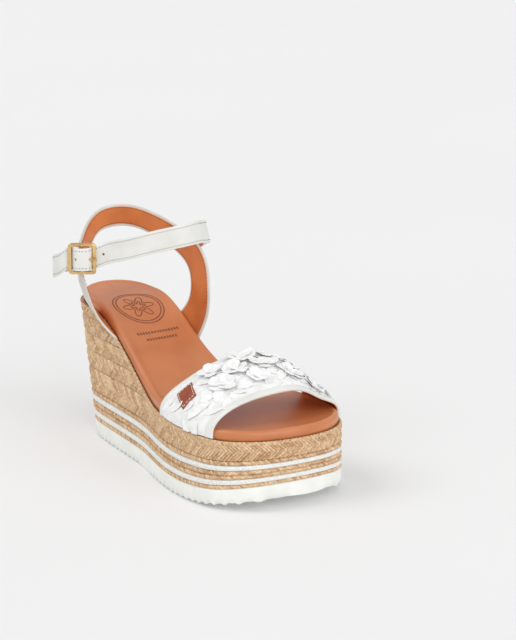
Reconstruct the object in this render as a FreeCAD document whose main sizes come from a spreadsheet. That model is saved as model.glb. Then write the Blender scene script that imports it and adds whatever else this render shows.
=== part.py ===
import FreeCAD, Part

import math
import os

from FreeCAD import Vector

# Wedge sandal for the right foot: jute wrapped wedge platform, leather footbed,
# front band with petals, heel strap and buckled ankle strap.
# Frame: +Z up, toes towards -Y, heel towards +Y, +X to the inner (medial) side of the foot,
# origin on the ground under the middle of the sole. Millimetres.

os.makedirs("parts", exist_ok=True)
doc = FreeCAD.newDocument("WedgeSandal")
sheet = doc.addObject("Spreadsheet::Sheet", "Sizes")

SIZES = {
    # plan of the sole
    "sole_length": 221.3, "toe_reach": 118.0, "toe_tip_offset": 8.0, "toe_depth": 43.0,
    "ball_lateral": 50.0, "ball_medial": 52.0, "heel_lateral": 32.0, "heel_medial": 29.0,
    "heel_depth": 33.0,
    "waist_lateral": 36.0, "waist_medial": 28.5,
    # side view
    "toe_spring": 8.0, "spring_start": -50.0, "platform_top": 45.5, "wedge_top": 88.0,
    "slope_start": -13.0, "seat_depth": 8.3, "seat_tilt": 0.08, "heel_lean": 0.25, "waist_tuck": 0.055,
    # stack of layers, heights of their upper faces above the flat part of the ground
    "outsole_top": 10.5, "rope_1_top": 13.3, "rope_2_top": 17.3, "rope_3_top": 20.6,
    "rope_4_top": 23.9, "rope_5_top": 27.9, "rope_6_top": 31.2, "braid_1_top": 47.0,
    "course_over": 5.0, "course": "=(wedge_top - braid_1_top + course_over) / 4",
    "wrap_thickness": 4.0, "layer_gap": 0.05,
    # sole teeth
    "tooth_pitch": 6.5, "tooth_depth": 1.5, "tooth_flare": 1.3,
    # footbed
    "board_thickness": 1.6, "board_inset": 13.0, "bed_inset": 3.0, "bed_height": 7.0,
    "cover_thickness": 1.3, "bed_round": 2.6,
    # straps
    "strap_width": 15.5, "leather": 0.95, "lining": 0.75, "ply_gap": 0.08, "strap_standoff": 0.35,
    "hole_radius": 1.25,
    # front band
    "band_edge": 3.0, "band_trim": 0.7, "trim_gap": 0.15, "petal_height": 4.5, "seam_rise": 1.1,
    "foot_gap": 0.7,
    # buckle
    "buckle_length": 18.6, "bar_radius": 1.2, "buckle_ease": 1.0, "prong_radius": 0.85,
    "buckle_height": "=strap_width + 4 * bar_radius + buckle_ease",
    "sleeve_wall": 0.7, "sleeve_length": 2.8, "buckle_corner": 2.6, "strap_split": 6.7,
    "buckle_x": -50.0, "buckle_ahead": 27.8, "buckle_rise": 43.5, "buckle_turn": -33.0, "running_gap": 0.08,
    "tab_width": 9.0, "tab_thickness": 0.9,
    # tag
    "tag_thickness": 0.8,
}
for row, (alias, value) in enumerate(SIZES.items(), start=1):
    sheet.set("A%d" % row, alias)
    sheet.set("B%d" % row, str(value))
    sheet.setAlias("B%d" % row, alias)
doc.recompute()


def size(alias):
    return float(sheet.get(alias))


parts = {}


def feature(node, shape):
    """Add one sub-part whose free-form shape comes from Part functions."""
    item = doc.addObject("Part::Feature", node)
    item.Label = node
    item.Shape = shape
    parts[node] = item
    return item


# ---------------------------------------------------------------- plan outline and its walls

TOE_Y = -size("toe_reach")
HEEL_Y = size("sole_length") - size("toe_reach")
SEAT_Y = HEEL_Y - size("heel_depth")
BALL_Y = TOE_Y + size("toe_depth")
SLOPE_END = HEEL_Y - size("seat_depth")
SEAT_TOP_Y = SEAT_Y + size("heel_lean") * size("wedge_top")
LEAN_START = -15.0
WAIST_Y = SEAT_Y - 40.3
WAIST_REACH = 85.0
# The plan's points between ball and heel seat are drawn for this distance, and shared out over the real one.
DRAWN_SPAN = 145.3
WALL_BOTTOM = -6.0
WALL_TOP = 130.0


def station(behind):
    """A station behind the ball, for the drawn distance between ball and heel seat."""
    return BALL_Y + behind * (SEAT_Y - BALL_Y) / DRAWN_SPAN


def round_point(centre, half_width, depth, degrees, power):
    """A point on a rounded end: an ellipse when power is 2, squarer above it."""
    angle = math.radians(degrees)
    reach_x = math.copysign(abs(math.cos(angle)) ** (2 / power), math.cos(angle))
    reach_y = math.copysign(abs(math.sin(angle)) ** (2 / power), math.sin(angle))
    return (centre[0] + half_width * reach_x, centre[1] + depth * reach_y)


def ground_outline():
    """Closed outline of the sole on the ground, from the medial heel round the heel to the toe."""
    heel = [round_point((0, SEAT_Y), size("heel_medial"), size("heel_depth"), a, 2.1) for a in (0, 35, 65)]
    heel += [round_point((0, SEAT_Y), size("heel_lateral"), size("heel_depth"), a, 2.1)
             for a in (90, 115, 145, 180)]
    lateral = [(-size("waist_lateral"), station(109.0)), (-40.5, station(77.0)),
               (-size("ball_lateral") + 3.0, station(49.0))]
    centre = (size("toe_tip_offset"), BALL_Y)
    lateral_width = size("ball_lateral") + centre[0]
    medial_width = size("ball_medial") - centre[0]
    toe = [round_point(centre, lateral_width, size("toe_depth"), a, 2.2) for a in (180, 208, 236, 262)]
    toe += [round_point(centre, medial_width, size("toe_depth"), a, 2.4) for a in (290, 318, 345)]
    medial = [(size("ball_medial") - 0.5, station(13.0)), (size("ball_medial") - 4.0, station(37.0)),
              (36.5, station(69.0)), (size("waist_medial"), station(109.0))]
    return heel + lateral + toe + medial


def smooth_step(value):
    value = min(max(value, 0.0), 1.0)
    return value * value * (3 - 2 * value)


def raised(point, height):
    """The wall's point above a ground point: the heel leans back and the waist tucks in."""
    px, py = point
    back = size("heel_lean") * height * smooth_step((py - LEAN_START) / (SLOPE_END - LEAN_START))
    tuck = size("waist_tuck") * height * smooth_step(1 - abs(py - WAIST_Y) / WAIST_REACH)
    return (px + tuck if px < 0 else px, py + back)


def outline_points(inset, height):
    """The outline at a height, moved inwards along its own normals."""
    ring = [raised(point, height) for point in ground_outline()]
    moved = []
    for index, (px, py) in enumerate(ring):
        ax, ay = ring[index - 1]
        bx, by = ring[(index + 1) % len(ring)]
        length = math.hypot(bx - ax, by - ay)
        moved.append(Vector(px - inset * (by - ay) / length, py + inset * (bx - ax) / length, height))
    return moved


def ring_parameters():
    """Spline parameters by chord length, the same for every inset and height, so walls stay parallel."""
    ring = ground_outline()
    total = [0.0]
    for index, (px, py) in enumerate(ring):
        nx, ny = ring[(index + 1) % len(ring)]
        total.append(total[-1] + math.hypot(nx - px, ny - py))
    return [value / total[-1] for value in total]


WALL_SEAMS = (7, 14)


def outline_wire(inset, height):
    """The outline in three edges, which meet at the medial heel, the lateral waist and the toe."""
    places = ring_parameters()
    curve = Part.BSplineCurve()
    curve.interpolate(Points=outline_points(inset, height), PeriodicFlag=True, Parameters=places)
    cuts = [0.0] + [places[index] for index in WALL_SEAMS] + [1.0]
    return Part.Wire([curve.toShape(first, last) for first, last in zip(cuts, cuts[1:])])


walls = {}


def wall(inset):
    """Solid inside the outline, over the whole height of the wedge."""
    if inset not in walls:
        ends = [outline_wire(inset, WALL_BOTTOM), outline_wire(inset, WALL_TOP)]
        walls[inset] = Part.makeLoft(ends, True, True)
    return walls[inset]


# ---------------------------------------------------------------- levels in the side view

FRONT_Y = TOE_Y - 8.0
REAR_Y = HEEL_Y + 40.0
SIDE_X = 90.0


def flat_level(height, lift):
    """A level that is flat under the foot and curls up by lift at the toe."""
    start = size("spring_start")
    peak = lift * ((start - FRONT_Y) / (start - TOE_Y)) ** 2
    curl = Part.BezierCurve()
    curl.setPoles([Vector(-SIDE_X, FRONT_Y, height + peak),
                   Vector(-SIDE_X, (FRONT_Y + start) / 2, height),
                   Vector(-SIDE_X, start, height)])
    flat = Part.LineSegment(Vector(-SIDE_X, start, height), Vector(-SIDE_X, REAR_Y, height))
    return [curl.toShape(), flat.toShape()]


def bed_level(offset):
    """The foot's own slope: flat platform, S-shaped rise, slightly tilted heel seat."""
    low = size("platform_top") + offset
    high = size("wedge_top") + offset
    start, end = size("slope_start"), SLOPE_END
    third = (end - start) / 3
    slope = Part.BezierCurve()
    slope.setPoles([Vector(-SIDE_X, start, low), Vector(-SIDE_X, start + third, low),
                    Vector(-SIDE_X, end - third, high), Vector(-SIDE_X, end, high)])
    front = Part.LineSegment(Vector(-SIDE_X, FRONT_Y, low), Vector(-SIDE_X, start, low))
    seat_end = high + size("seat_tilt") * (REAR_Y - end)
    seat = Part.LineSegment(Vector(-SIDE_X, end, high), Vector(-SIDE_X, REAR_Y, seat_end))
    return [front.toShape(), slope.toShape(), seat.toShape()]


def bed_height_at(py):
    """Height of the wedge's upper face under the footbed at a station."""
    rise = smooth_step((py - size("slope_start")) / (SLOPE_END - size("slope_start")))
    tilt = size("seat_tilt") * max(py - SLOPE_END, 0.0)
    return size("platform_top") + (size("wedge_top") - size("platform_top")) * rise + tilt


def slab(lower, upper):
    """Everything between two levels, across the whole width."""
    ends = [(edges[0].firstVertex().Point, edges[-1].lastVertex().Point) for edges in (lower, upper)]
    front = Part.LineSegment(ends[0][0], ends[1][0]).toShape()
    rear = Part.LineSegment(ends[0][1], ends[1][1]).toShape()
    face = Part.Face(Part.Wire(Part.__sortEdges__(lower + upper + [front, rear])))
    return face.extrude(Vector(2 * SIDE_X, 0, 0))


def floor_level():
    return flat_level(WALL_BOTTOM + 1.0, 0.0)


def spring_at(height):
    """The toe curl fades out towards the platform's upper face."""
    share = (height - size("outsole_top")) / (size("platform_top") - size("outsole_top"))
    return size("toe_spring") * (1 - min(max(share, 0.0), 1.0))


def stack_level(height):
    return flat_level(height, spring_at(height))


# ---------------------------------------------------------------- sole, wedge and its wrap

def outsole_shape():
    body = wall(0.0).common(slab(flat_level(0.0, size("toe_spring")), stack_level(size("outsole_top"))))
    pitch, depth = size("tooth_pitch"), size("tooth_depth")
    notches = []
    count = int(size("sole_length") / pitch)
    land = 3 * pitch
    for index in range(count + 1):
        y_mid = TOE_Y + (index + 0.5) * pitch
        if abs(y_mid) < land / 2:
            continue
        curl = max(size("spring_start") - y_mid, 0) / (size("spring_start") - TOE_Y)
        lift = size("toe_spring") * curl ** 2
        top = Vector(-SIDE_X, y_mid, lift + depth)
        foot = -depth + lift - 1.0
        half = pitch / 2 * size("tooth_flare")
        corners = [top, Vector(-SIDE_X, y_mid + half, foot), Vector(-SIDE_X, y_mid - half, foot), top]
        notches.append(Part.Face(Part.makePolygon(corners)).extrude(Vector(2 * SIDE_X, 0, 0)))
    return body.cut(Part.makeCompound(notches))


GAP = size("layer_gap")
WRAP = size("wrap_thickness")

feature("outsole", outsole_shape())

core_region = slab(stack_level(size("outsole_top") + GAP), bed_level(-size("board_thickness")))
feature("wedge_core", wall(WRAP + GAP).common(core_region))

wrap_ring = wall(0.0).cut(wall(WRAP))
below_bed = slab(floor_level(), bed_level(-GAP))
rope_tops = ["outsole_top"] + ["rope_%d_top" % number for number in range(1, 7)]
rope_names = ["rope_1_jute", "rope_2_white", "rope_3_jute", "rope_4_jute", "rope_5_white", "rope_6_jute"]
for name, lower, upper in zip(rope_names, rope_tops, rope_tops[1:]):
    feature(name, wrap_ring.common(slab(stack_level(size(lower) + GAP), stack_level(size(upper)))))

braid_bottom = size("rope_6_top") + GAP
braid_top = size("braid_1_top")
first_braid = wrap_ring.common(slab(stack_level(braid_bottom), flat_level(braid_top, 0.0)))
feature("braid_1", first_braid.common(below_bed))
for number in range(2, 6):
    bottom = braid_top + (number - 2) * size("course")
    course_top = flat_level(bottom + size("course"), 0.0)
    band = wrap_ring.common(slab(flat_level(bottom + GAP, 0.0), course_top))
    feature("braid_%d" % number, band.common(below_bed))

# ---------------------------------------------------------------- footbed

BED_INSET = size("bed_inset")
COVER = size("cover_thickness")
feature("insole_board",
        wall(size("board_inset")).common(slab(bed_level(GAP - size("board_thickness")), bed_level(-GAP))))
BED = size("bed_height")
foam = wall(BED_INSET + COVER + GAP).common(slab(bed_level(0.0), bed_level(BED - COVER - GAP)))
feature("footbed_foam", foam)
bed_block = wall(BED_INSET).common(slab(bed_level(0.0), bed_level(BED)))


def is_rim(edge):
    """True for the outer edges of the bed's upper face, not for the lines across it."""
    first, last = edge.Vertexes[0].Point, edge.Vertexes[-1].Point
    high = all(abs(point.z - bed_height_at(point.y) - BED) < 0.3 for point in (first, last))
    return high and abs(first.y - last.y) > 1e-3


rim = [edge for edge in bed_block.Edges if is_rim(edge)]
rounded = bed_block.makeFillet(size("bed_round"), rim)
cavity = wall(BED_INSET + COVER).common(slab(bed_level(-1.0), bed_level(BED - COVER)))
feature("footbed_cover", rounded.cut(cavity))

# ---------------------------------------------------------------- strips of leather


def strip(stations, inner, outer, ruled=False):
    """A strip through stations of (upper edge, lower edge, outward side), between two depths."""
    wires = []
    count = len(stations)
    for index, (upper, lower, hint) in enumerate(stations):
        before = stations[max(index - 1, 0)]
        after = stations[min(index + 1, count - 1)]
        along = (after[0] + after[1]) - (before[0] + before[1])
        normal = along.cross(upper - lower)
        normal.normalize()
        if normal.dot(hint) < 0:
            normal = -normal
        near, far = normal * inner, normal * outer
        corners = [upper + near, lower + near, lower + far, upper + far, upper + near]
        wires.append(Part.makePolygon(corners))
    return Part.makeLoft(wires, True, ruled)


def outermost_x(shape, py, low, high, side):
    """The outermost x of a shape at a station, between two heights, on one side (-1 or +1)."""
    box = Part.makeBox(SIDE_X, SLICE, high - low, Vector(min(side * SIDE_X, 0.0), py, low))
    bounds = shape.common(box).BoundBox
    return bounds.XMax if side > 0 else bounds.XMin


def outward_from(centre, upper, lower):
    middle = (upper + lower) * 0.5
    return Vector(middle.x - centre[0], middle.y - centre[1], 0.0)


HEEL_CENTRE = (0.0, SEAT_TOP_Y - 30.3)
LINING = size("lining")
LEATHER = size("leather")
PLY = size("ply_gap")
STRAP_DEPTH = LINING + PLY + LEATHER
CURVE_STEPS = 400
SLICE = 0.5
foot_curves = {}


def edge_x(py, side, inset):
    """Distance from the middle to the top edge of the wedge at a station, on one side (-1 or +1)."""
    height = bed_height_at(py)
    key = (inset, round(height, 3))
    if key not in foot_curves:
        foot_curves[key] = outline_wire(inset, height).discretize(CURVE_STEPS)
    ring = foot_curves[key]
    for index, point in enumerate(ring):
        before = ring[index - 1]
        crosses = (before.y - py) * (point.y - py) <= 0 and before.y != point.y
        if crosses and point.x * side > 0:
            share = (py - before.y) / (point.y - before.y)
            return before.x + share * (point.x - before.x)
    raise ValueError("the outline has no edge at y = %s" % py)


def foot_point(py, side, depth):
    """A point where a strap comes down beside the footbed; depth is the strap's share outside it."""
    inset = size("bed_inset") - size("foot_gap") - depth
    return Vector(edge_x(py, side, inset), py, bed_height_at(py) + size("seam_rise"))


# The straps' points are drawn for these half widths of the heel and of the ball.
DRAWN_HEEL = (32.0, 29.0)
DRAWN_BALL = (50.0, 52.0)


def by_seat(px, back, rise):
    """A strap's point from the heel seat: across, behind its centre, above the wedge's upper face."""
    share = size("heel_lateral") / DRAWN_HEEL[0] if px < 0 else size("heel_medial") / DRAWN_HEEL[1]
    return Vector(px * share, SEAT_TOP_Y + back, size("wedge_top") + rise)


def by_ball(px, back, rise):
    """A point of the front band: across, behind the ball, above the platform."""
    share = size("ball_lateral") / DRAWN_BALL[0] if px < 0 else size("ball_medial") / DRAWN_BALL[1]
    return Vector(px * share, BALL_Y + back, size("platform_top") + rise)


# Upper (front) and lower (rear) edge of the heel strap, from its medial foot round to its lateral foot.
HEEL_STRAP = [
    (foot_point(SEAT_TOP_Y - 49.3, 1, 0.0), foot_point(SEAT_TOP_Y - 24.3, 1, 0.0)),
    (by_seat(31, -53.8, -2), by_seat(30, -30.8, 5)),
    (by_seat(32.5, -53.8, 18), by_seat(31.5, -31.8, 17)),
    (by_seat(34, -48.3, 34), by_seat(32.5, -27.3, 25.5)),
    (by_seat(34.5, -37.3, 44), by_seat(33, -18.8, 31)),
    (by_seat(33.5, -17.3, 51.5), by_seat(31.5, -5.3, 36.5)),
    (by_seat(27.5, 8.7, 57.5), by_seat(26.5, 11.7, 41.5)),
    (by_seat(15.5, 27.2, 61), by_seat(15, 27.2, 45.5)),
    (by_seat(-1, 31.2, 59), by_seat(-1, 30.2, 43.5)),
    (by_seat(-16, 23.7, 52.5), by_seat(-12, 24.2, 38)),
    (by_seat(-27, 11.7, 48), by_seat(-22, 16.2, 32.5)),
    (by_seat(-37.5, -3.3, 47.5), by_seat(-29.5, 8.7, 30.5)),
    (by_seat(-45.2, -15.3, 45), by_seat(-34.5, 1.7, 27.5)),
    (by_seat(-46.5, -22.3, 33), by_seat(-37, -2.3, 22.5)),
    (by_seat(-43.5, -25.3, 18), by_seat(-36.5, -4.8, 17)),
    (by_seat(-38.5, -29.8, 2), by_seat(-34.5, -6.3, 9.5)),
    (foot_point(SEAT_TOP_Y - 38.3, -1, 0.0), foot_point(SEAT_TOP_Y - 7.3, -1, 0.0)),
]
heel_stations = [(up, low, outward_from(HEEL_CENTRE, up, low)) for up, low in HEEL_STRAP]
feature("heel_strap_lining", strip(heel_stations, 0.0, LINING))
feature("heel_strap_outer", strip(heel_stations, LINING + PLY, STRAP_DEPTH))

# ---------------------------------------------------------------- ankle strap

BUCKLE = by_seat(size("buckle_x"), -size("buckle_ahead"), size("buckle_rise"))
TURN = math.radians(size("buckle_turn"))
ALONG = Vector(math.cos(TURN), math.sin(TURN), 0.0)
OUT = Vector(math.sin(TURN), -math.cos(TURN), 0.0)
UP = Vector(0, 0, 1)
BAR = size("bar_radius")
UNDER = BAR + size("strap_standoff") + STRAP_DEPTH / 2
SLEEVE = BAR + size("running_gap") + size("sleeve_wall")
OVER = SLEEVE + size("strap_standoff") + STRAP_DEPTH / 2
HALF = size("buckle_length") / 2 - BAR
HALF_DEPTH = STRAP_DEPTH / 2
CREST = SLEEVE


def strap_station(middle, hint):
    """One station of the ankle strap, from its middle line."""
    half = UP * (size("strap_width") / 2)
    return (middle + half, middle - half, hint)


def weave_station(distance, depth, drop):
    """A station at the buckle, by distance along the strap and depth out of the frame's plane."""
    return strap_station(BUCKLE + ALONG * distance + OUT * depth + UP * drop, OUT)


# The strap's middle line, in front of the ankle from the buckle to the medial fold.
CROSSING = [by_seat(-29.5, -44.8, 52), by_seat(-15, -55.3, 57.5), by_seat(0, -61.3, 59.8),
            by_seat(13, -62.3, 60.3), by_seat(24, -59.3, 59.6), by_seat(32, -53.8, 58),
            by_seat(36.5, -47.3, 56.2)]
CROSSING_CENTRE = Vector(0, SEAT_TOP_Y - 17.3, 0)
# The loose end's middle line, from where the strap leaves the buckle's frame.
LOOSE_END = [(-3.2, 6.6, -4.0), (-3.0, 14.1, -7.0), (-0.2, 22.1, -10.0)]
SPLIT = size("strap_split")
crossing = [strap_station(place, place - CROSSING_CENTRE - UP * place.z) for place in CROSSING]
main_stations = [weave_station(HALF + SPLIT + size("running_gap") * 4, -UNDER + 0.6, 3.2)] + crossing
tail_stations = [
    weave_station(HALF + SPLIT, -UNDER + 0.6, 3.1),
    weave_station(HALF + CREST, -UNDER, 0.3),
    weave_station(HALF - CREST, -UNDER, 0.1),
    weave_station(CREST, OVER, 0.0),
    weave_station(-CREST, OVER, 0.0),
    weave_station(CREST - HALF, -UNDER, -0.1),
    weave_station(-HALF - CREST, -UNDER, -0.3),
]
tail_root = BUCKLE - ALONG * HALF
tail_stations += [strap_station(tail_root + Vector(*step), Vector(-1, 0, 0)) for step in LOOSE_END]

# The hole that the prong passes through, and the spare holes on the loose side of it.
prong_depth = BAR + size("prong_radius") + size("ply_gap")
slot = Part.makeCylinder(size("hole_radius"), HALF, BUCKLE + OUT * prong_depth, ALONG)


def plies(name, stations, opening):
    ruled = opening is not None
    lining = strip(stations, -HALF_DEPTH, LINING - HALF_DEPTH, ruled)
    outer = strip(stations, LINING + PLY - HALF_DEPTH, HALF_DEPTH, ruled)
    feature(name + "_lining", lining.cut(opening) if opening else lining)
    feature(name + "_outer", outer.cut(opening) if opening else outer)


plies("ankle_strap", main_stations, None)
plies("strap_tail", tail_stations, slot)

# The ankle strap's sewn end, folded round to the outer face of the heel strap's medial corner.
heel_outer = parts["heel_strap_outer"].Shape
ANCHOR_SEATS = [by_seat(0, -38.3, 50.5), by_seat(0, -30.3, 46.5), by_seat(0, -21.3, 44)]
ANCHOR = [by_seat(38.8, -44.9, 55)]
for place in ANCHOR_SEATS:
    reach = size("strap_width") / 2
    seat = outermost_x(heel_outer, place.y, place.z - reach, place.z + reach, 1)
    ANCHOR.append(Vector(max(seat + 2 * PLY, ANCHOR[-1].x - 1.0), place.y, place.z))
anchor_stations = [strap_station(place, Vector(1, 0, 0)) for place in ANCHOR]
feature("ankle_strap_end_lining", strip(anchor_stations, 0.0, LINING))
feature("ankle_strap_end_outer", strip(anchor_stations, LINING + PLY, STRAP_DEPTH))

# ---------------------------------------------------------------- buckle

BUCKLE_PLACE = FreeCAD.Placement(BUCKLE, FreeCAD.Rotation(ALONG, UP, OUT, "XYZ"))


def add_body(node):
    body = doc.addObject("PartDesign::Body", node)
    body.Label = node
    parts[node] = body
    return body


def add_step(body, kind, name, expressions, offset=None, turn=None):
    """One PartDesign step whose sizes, and place in the body, are bound to the sheet."""
    step = body.newObject("PartDesign::" + kind, name)
    for target, formula in expressions.items():
        step.setExpression(target, formula)
    if turn is not None:
        step.Placement = FreeCAD.Placement(Vector(0, 0, 0), turn)
    for axis, formula in (offset or {}).items():
        step.setExpression("Placement.Base." + axis, formula)
    return step


frame_body = add_body("buckle_frame")
add_step(frame_body, "AdditiveBox", "FrameBlank",
         {"Length": "Sizes.buckle_length", "Width": "Sizes.buckle_height", "Height": "2 * Sizes.bar_radius"},
         {"x": "-Sizes.buckle_length / 2", "y": "-Sizes.buckle_height / 2", "z": "-Sizes.bar_radius"})
add_step(frame_body, "SubtractiveBox", "FrameWindow",
         {"Length": "Sizes.buckle_length - 4 * Sizes.bar_radius",
          "Width": "Sizes.buckle_height - 4 * Sizes.bar_radius", "Height": "4 * Sizes.bar_radius"},
         {"x": "2 * Sizes.bar_radius - Sizes.buckle_length / 2",
          "y": "2 * Sizes.bar_radius - Sizes.buckle_height / 2", "z": "-2 * Sizes.bar_radius"})
doc.recompute()
window = frame_body.Tip


def edges_of(shape, test):
    return ["Edge%d" % (index + 1) for index, edge in enumerate(shape.Edges) if test(edge)]


def is_upright(edge):
    first, last = edge.firstVertex().Point, edge.lastVertex().Point
    return abs(first.x - last.x) < 1e-6 and abs(first.y - last.y) < 1e-6


def is_outer_corner(edge):
    return is_upright(edge) and abs(edge.firstVertex().Point.x) > size("buckle_length") / 2 - 1e-3


corners = frame_body.newObject("PartDesign::Fillet", "FrameCorners")
corners.Base = (window, edges_of(window.Shape, is_outer_corner))
corners.setExpression("Radius", "Sizes.buckle_corner")
doc.recompute()
rounding = frame_body.newObject("PartDesign::Fillet", "FrameRounding")
rounding.Base = (corners, edges_of(corners.Shape, lambda edge: not is_upright(edge)))
rounding.setExpression("Radius", "Sizes.bar_radius * 0.62")
doc.recompute()
add_step(frame_body, "AdditiveCylinder", "CentreBar",
         {"Radius": "Sizes.bar_radius", "Height": "Sizes.buckle_height - 2 * Sizes.bar_radius"},
         {"y": "Sizes.buckle_height / 2 - Sizes.bar_radius"}, FreeCAD.Rotation(Vector(1, 0, 0), 90))
frame_body.Placement = BUCKLE_PLACE

prong_body = add_body("buckle_prong")
add_step(prong_body, "AdditiveCylinder", "Sleeve",
         {"Radius": "Sizes.bar_radius + Sizes.running_gap + Sizes.sleeve_wall",
          "Height": "Sizes.sleeve_length"},
         {"y": "Sizes.sleeve_length / 2"}, FreeCAD.Rotation(Vector(1, 0, 0), 90))
add_step(prong_body, "AdditiveCylinder", "Pin",
         {"Radius": "Sizes.prong_radius", "Height": "Sizes.buckle_length / 2 + Sizes.prong_radius"},
         {"z": "Sizes.bar_radius + Sizes.prong_radius + Sizes.ply_gap"},
         FreeCAD.Rotation(Vector(0, 1, 0), 90))
doc.recompute()
pin = prong_body.Tip
tip_x = max(vertex.Point.x for vertex in pin.Shape.Vertexes)
point = prong_body.newObject("PartDesign::Fillet", "PinPoint")
point.Base = (pin, edges_of(pin.Shape, lambda edge: edge.BoundBox.XMin > tip_x - 1e-3))
point.setExpression("Radius", "Sizes.prong_radius * 0.9")
add_step(prong_body, "SubtractiveCylinder", "SleeveBore",
         {"Radius": "Sizes.bar_radius + Sizes.running_gap", "Height": "Sizes.sleeve_length * 2"},
         {"y": "Sizes.sleeve_length"}, FreeCAD.Rotation(Vector(1, 0, 0), 90))
prong_body.Placement = BUCKLE_PLACE

# The tab: two plies of tape from the heel strap's outer face, looped round the centre bar.
TAB = size("tab_thickness")
TAB_RADIUS = BAR + size("running_gap")
TAB_SEAT = [by_seat(0, -13.3, 37.5), by_seat(0, -6.3, 34.5)]


def tab_station(place):
    half = UP * (size("tab_width") / 2)
    return (place + half, place - half, -ALONG)


tab_path = [BUCKLE - OUT * (TAB_RADIUS + 0.2), BUCKLE + Vector(0.6, 5.5, -1.5),
            BUCKLE + Vector(1.0, 10.0, -3.5)]
for place in TAB_SEAT:
    reach = size("tab_width") / 2
    seat = outermost_x(heel_outer, place.y, place.z - reach, place.z + reach, -1)
    tab_path.append(Vector(seat - TAB * 1.2 - PLY, place.y, place.z))
tab_strip = strip([tab_station(place) for place in tab_path], -TAB, TAB)
loop_foot = BUCKLE - UP * (size("tab_width") / 2)
loop = Part.makeCylinder(TAB_RADIUS + TAB, size("tab_width"), loop_foot, UP)
bar_way = Part.makeCylinder(TAB_RADIUS, size("tab_width") * 2, loop_foot - UP * (size("tab_width") / 2), UP)
slit_height = size("sleeve_length") + 4 * size("running_gap")
slit_radius = SLEEVE + size("prong_radius") + 1.0
slit = Part.makeCylinder(slit_radius, slit_height, BUCKLE - UP * (slit_height / 2), UP)
feature("buckle_tab", tab_strip.fuse(loop).cut(bar_way).cut(slit).removeSplitter())

# ---------------------------------------------------------------- front band

KNEE_RISE = size("bed_height") - 1.5
KNEE_LEAN = 0.4
SAME_WAY = 1
GRID_ACROSS = 17
GRID_ALONG = 5
# Rear, middle and front arch of the band over the instep, lateral foot, points and medial foot: each foot
# by its distance behind the ball, each point across, behind the ball and above the platform.
BAND_ARCHES = [
    (46, [(-43.6, 45, 12), (-31, 42, 22), (-9, 37, 33), (13, 32, 36.5),
             (31, 28, 32), (43.5, 25, 18)], 24),
    (15, [(-47.2, 14.5, 12), (-36, 13, 22), (-12, 9, 31), (9, 6, 34),
             (28, 3, 29), (43.5, 1, 16)], 1),
    (-16, [(-44.5, -16.5, 10), (-33, -18, 19), (-17, -20, 23.8), (1, -22, 26),
             (18, -23, 24.5), (33.5, -22.5, 16.5)], -20),
]


def band_surface():
    """The outer face of the band, through its three arches."""
    arches = [(low, [by_ball(*point) for point in crown], high) for low, crown, high in BAND_ARCHES]
    for rear, front in ((0, 1), (2, 3)):
        between = [(a + b) * 0.5 for a, b in zip(arches[rear][1], arches[front][1])]
        feet = [(arches[rear][k] + arches[front][k]) / 2 for k in (0, 2)]
        middle = (feet[0], between, feet[1])
        arches.insert(front, middle)
    rows = []
    for lateral, crown, medial in arches:
        feet = [foot_point(BALL_Y + lateral, -1, STRAP_DEPTH), foot_point(BALL_Y + medial, 1, STRAP_DEPTH)]
        knees = [feet[0] + Vector(KNEE_LEAN, 0, KNEE_RISE), feet[1] + Vector(-KNEE_LEAN, 0, KNEE_RISE)]
        arch = Part.BSplineCurve()
        arch.interpolate([feet[0], knees[0]] + crown + [knees[1], feet[1]])
        rows.append(arch.toShape().discretize(GRID_ACROSS))
    surface = Part.BSplineSurface()
    surface.interpolate(rows)
    return surface


SURFACE = band_surface()
U_SPAN = SURFACE.bounds()[0:2]
V_SPAN = SURFACE.bounds()[2:4]


def on_band(along, across, depth):
    """A point on the band, along the foot (0 rear to 1 front), across it (0 lateral to 1 medial)."""
    u = U_SPAN[0] + (U_SPAN[1] - U_SPAN[0]) * along
    v = V_SPAN[0] + (V_SPAN[1] - V_SPAN[0]) * across
    normal = SURFACE.normal(u, v)
    place = SURFACE.value(u, v)
    if normal.dot(place - Vector(0, place.y, 40)) < 0:
        normal = -normal
    return place + normal * depth


def band_patch(along, across, depth, thickness, steps):
    """A solid patch of the band between two stations each way, from a depth outwards."""
    rows = []
    for row in range(steps[0]):
        share = along[0] + (along[1] - along[0]) * row / (steps[0] - 1)
        line = [across[0] + (across[1] - across[0]) * column / (steps[1] - 1) for column in range(steps[1])]
        rows.append([share, line])
    faces = []
    corners = []
    for level in (depth, depth + thickness):
        surface = Part.BSplineSurface()
        surface.interpolate([[on_band(share, column, level) for column in line] for share, line in rows])
        faces.append(surface.toShape())
        u0, u1, v0, v1 = surface.bounds()
        corners.append([surface.uIso(u0).toShape(), surface.uIso(u1).toShape(),
                        surface.vIso(v0).toShape(), surface.vIso(v1).toShape()])
    for low, high in zip(*corners):
        faces.append(Part.makeRuledSurface(low, high, SAME_WAY))
    shell = Part.makeShell(faces)
    shell.sewShape()
    solid = Part.makeSolid(shell)
    if solid.Volume < 0:
        solid.reverse()
    return solid


WHOLE = (0.0, 1.0)
STEPS = (GRID_ALONG, GRID_ACROSS)
feature("band_outer", band_patch(WHOLE, WHOLE, -LEATHER, LEATHER, STEPS))
feature("band_lining", band_patch(WHOLE, WHOLE, -STRAP_DEPTH, LINING, STEPS))
TRIM = size("band_trim")
TRIM_GAP = size("trim_gap")
EDGE = size("band_edge") / 62.0
feature("band_binding_rear", band_patch((0.0, EDGE), (0.04, 0.96), TRIM_GAP, TRIM, (2, GRID_ACROSS)))
feature("band_binding_front", band_patch((1.0 - EDGE, 1.0), (0.05, 0.95), TRIM_GAP, TRIM, (2, GRID_ACROSS)))
feature("side_tag", band_patch((0.17, 0.42), (0.13, 0.235), TRIM_GAP, size("tag_thickness"), (3, 3)))

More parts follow.
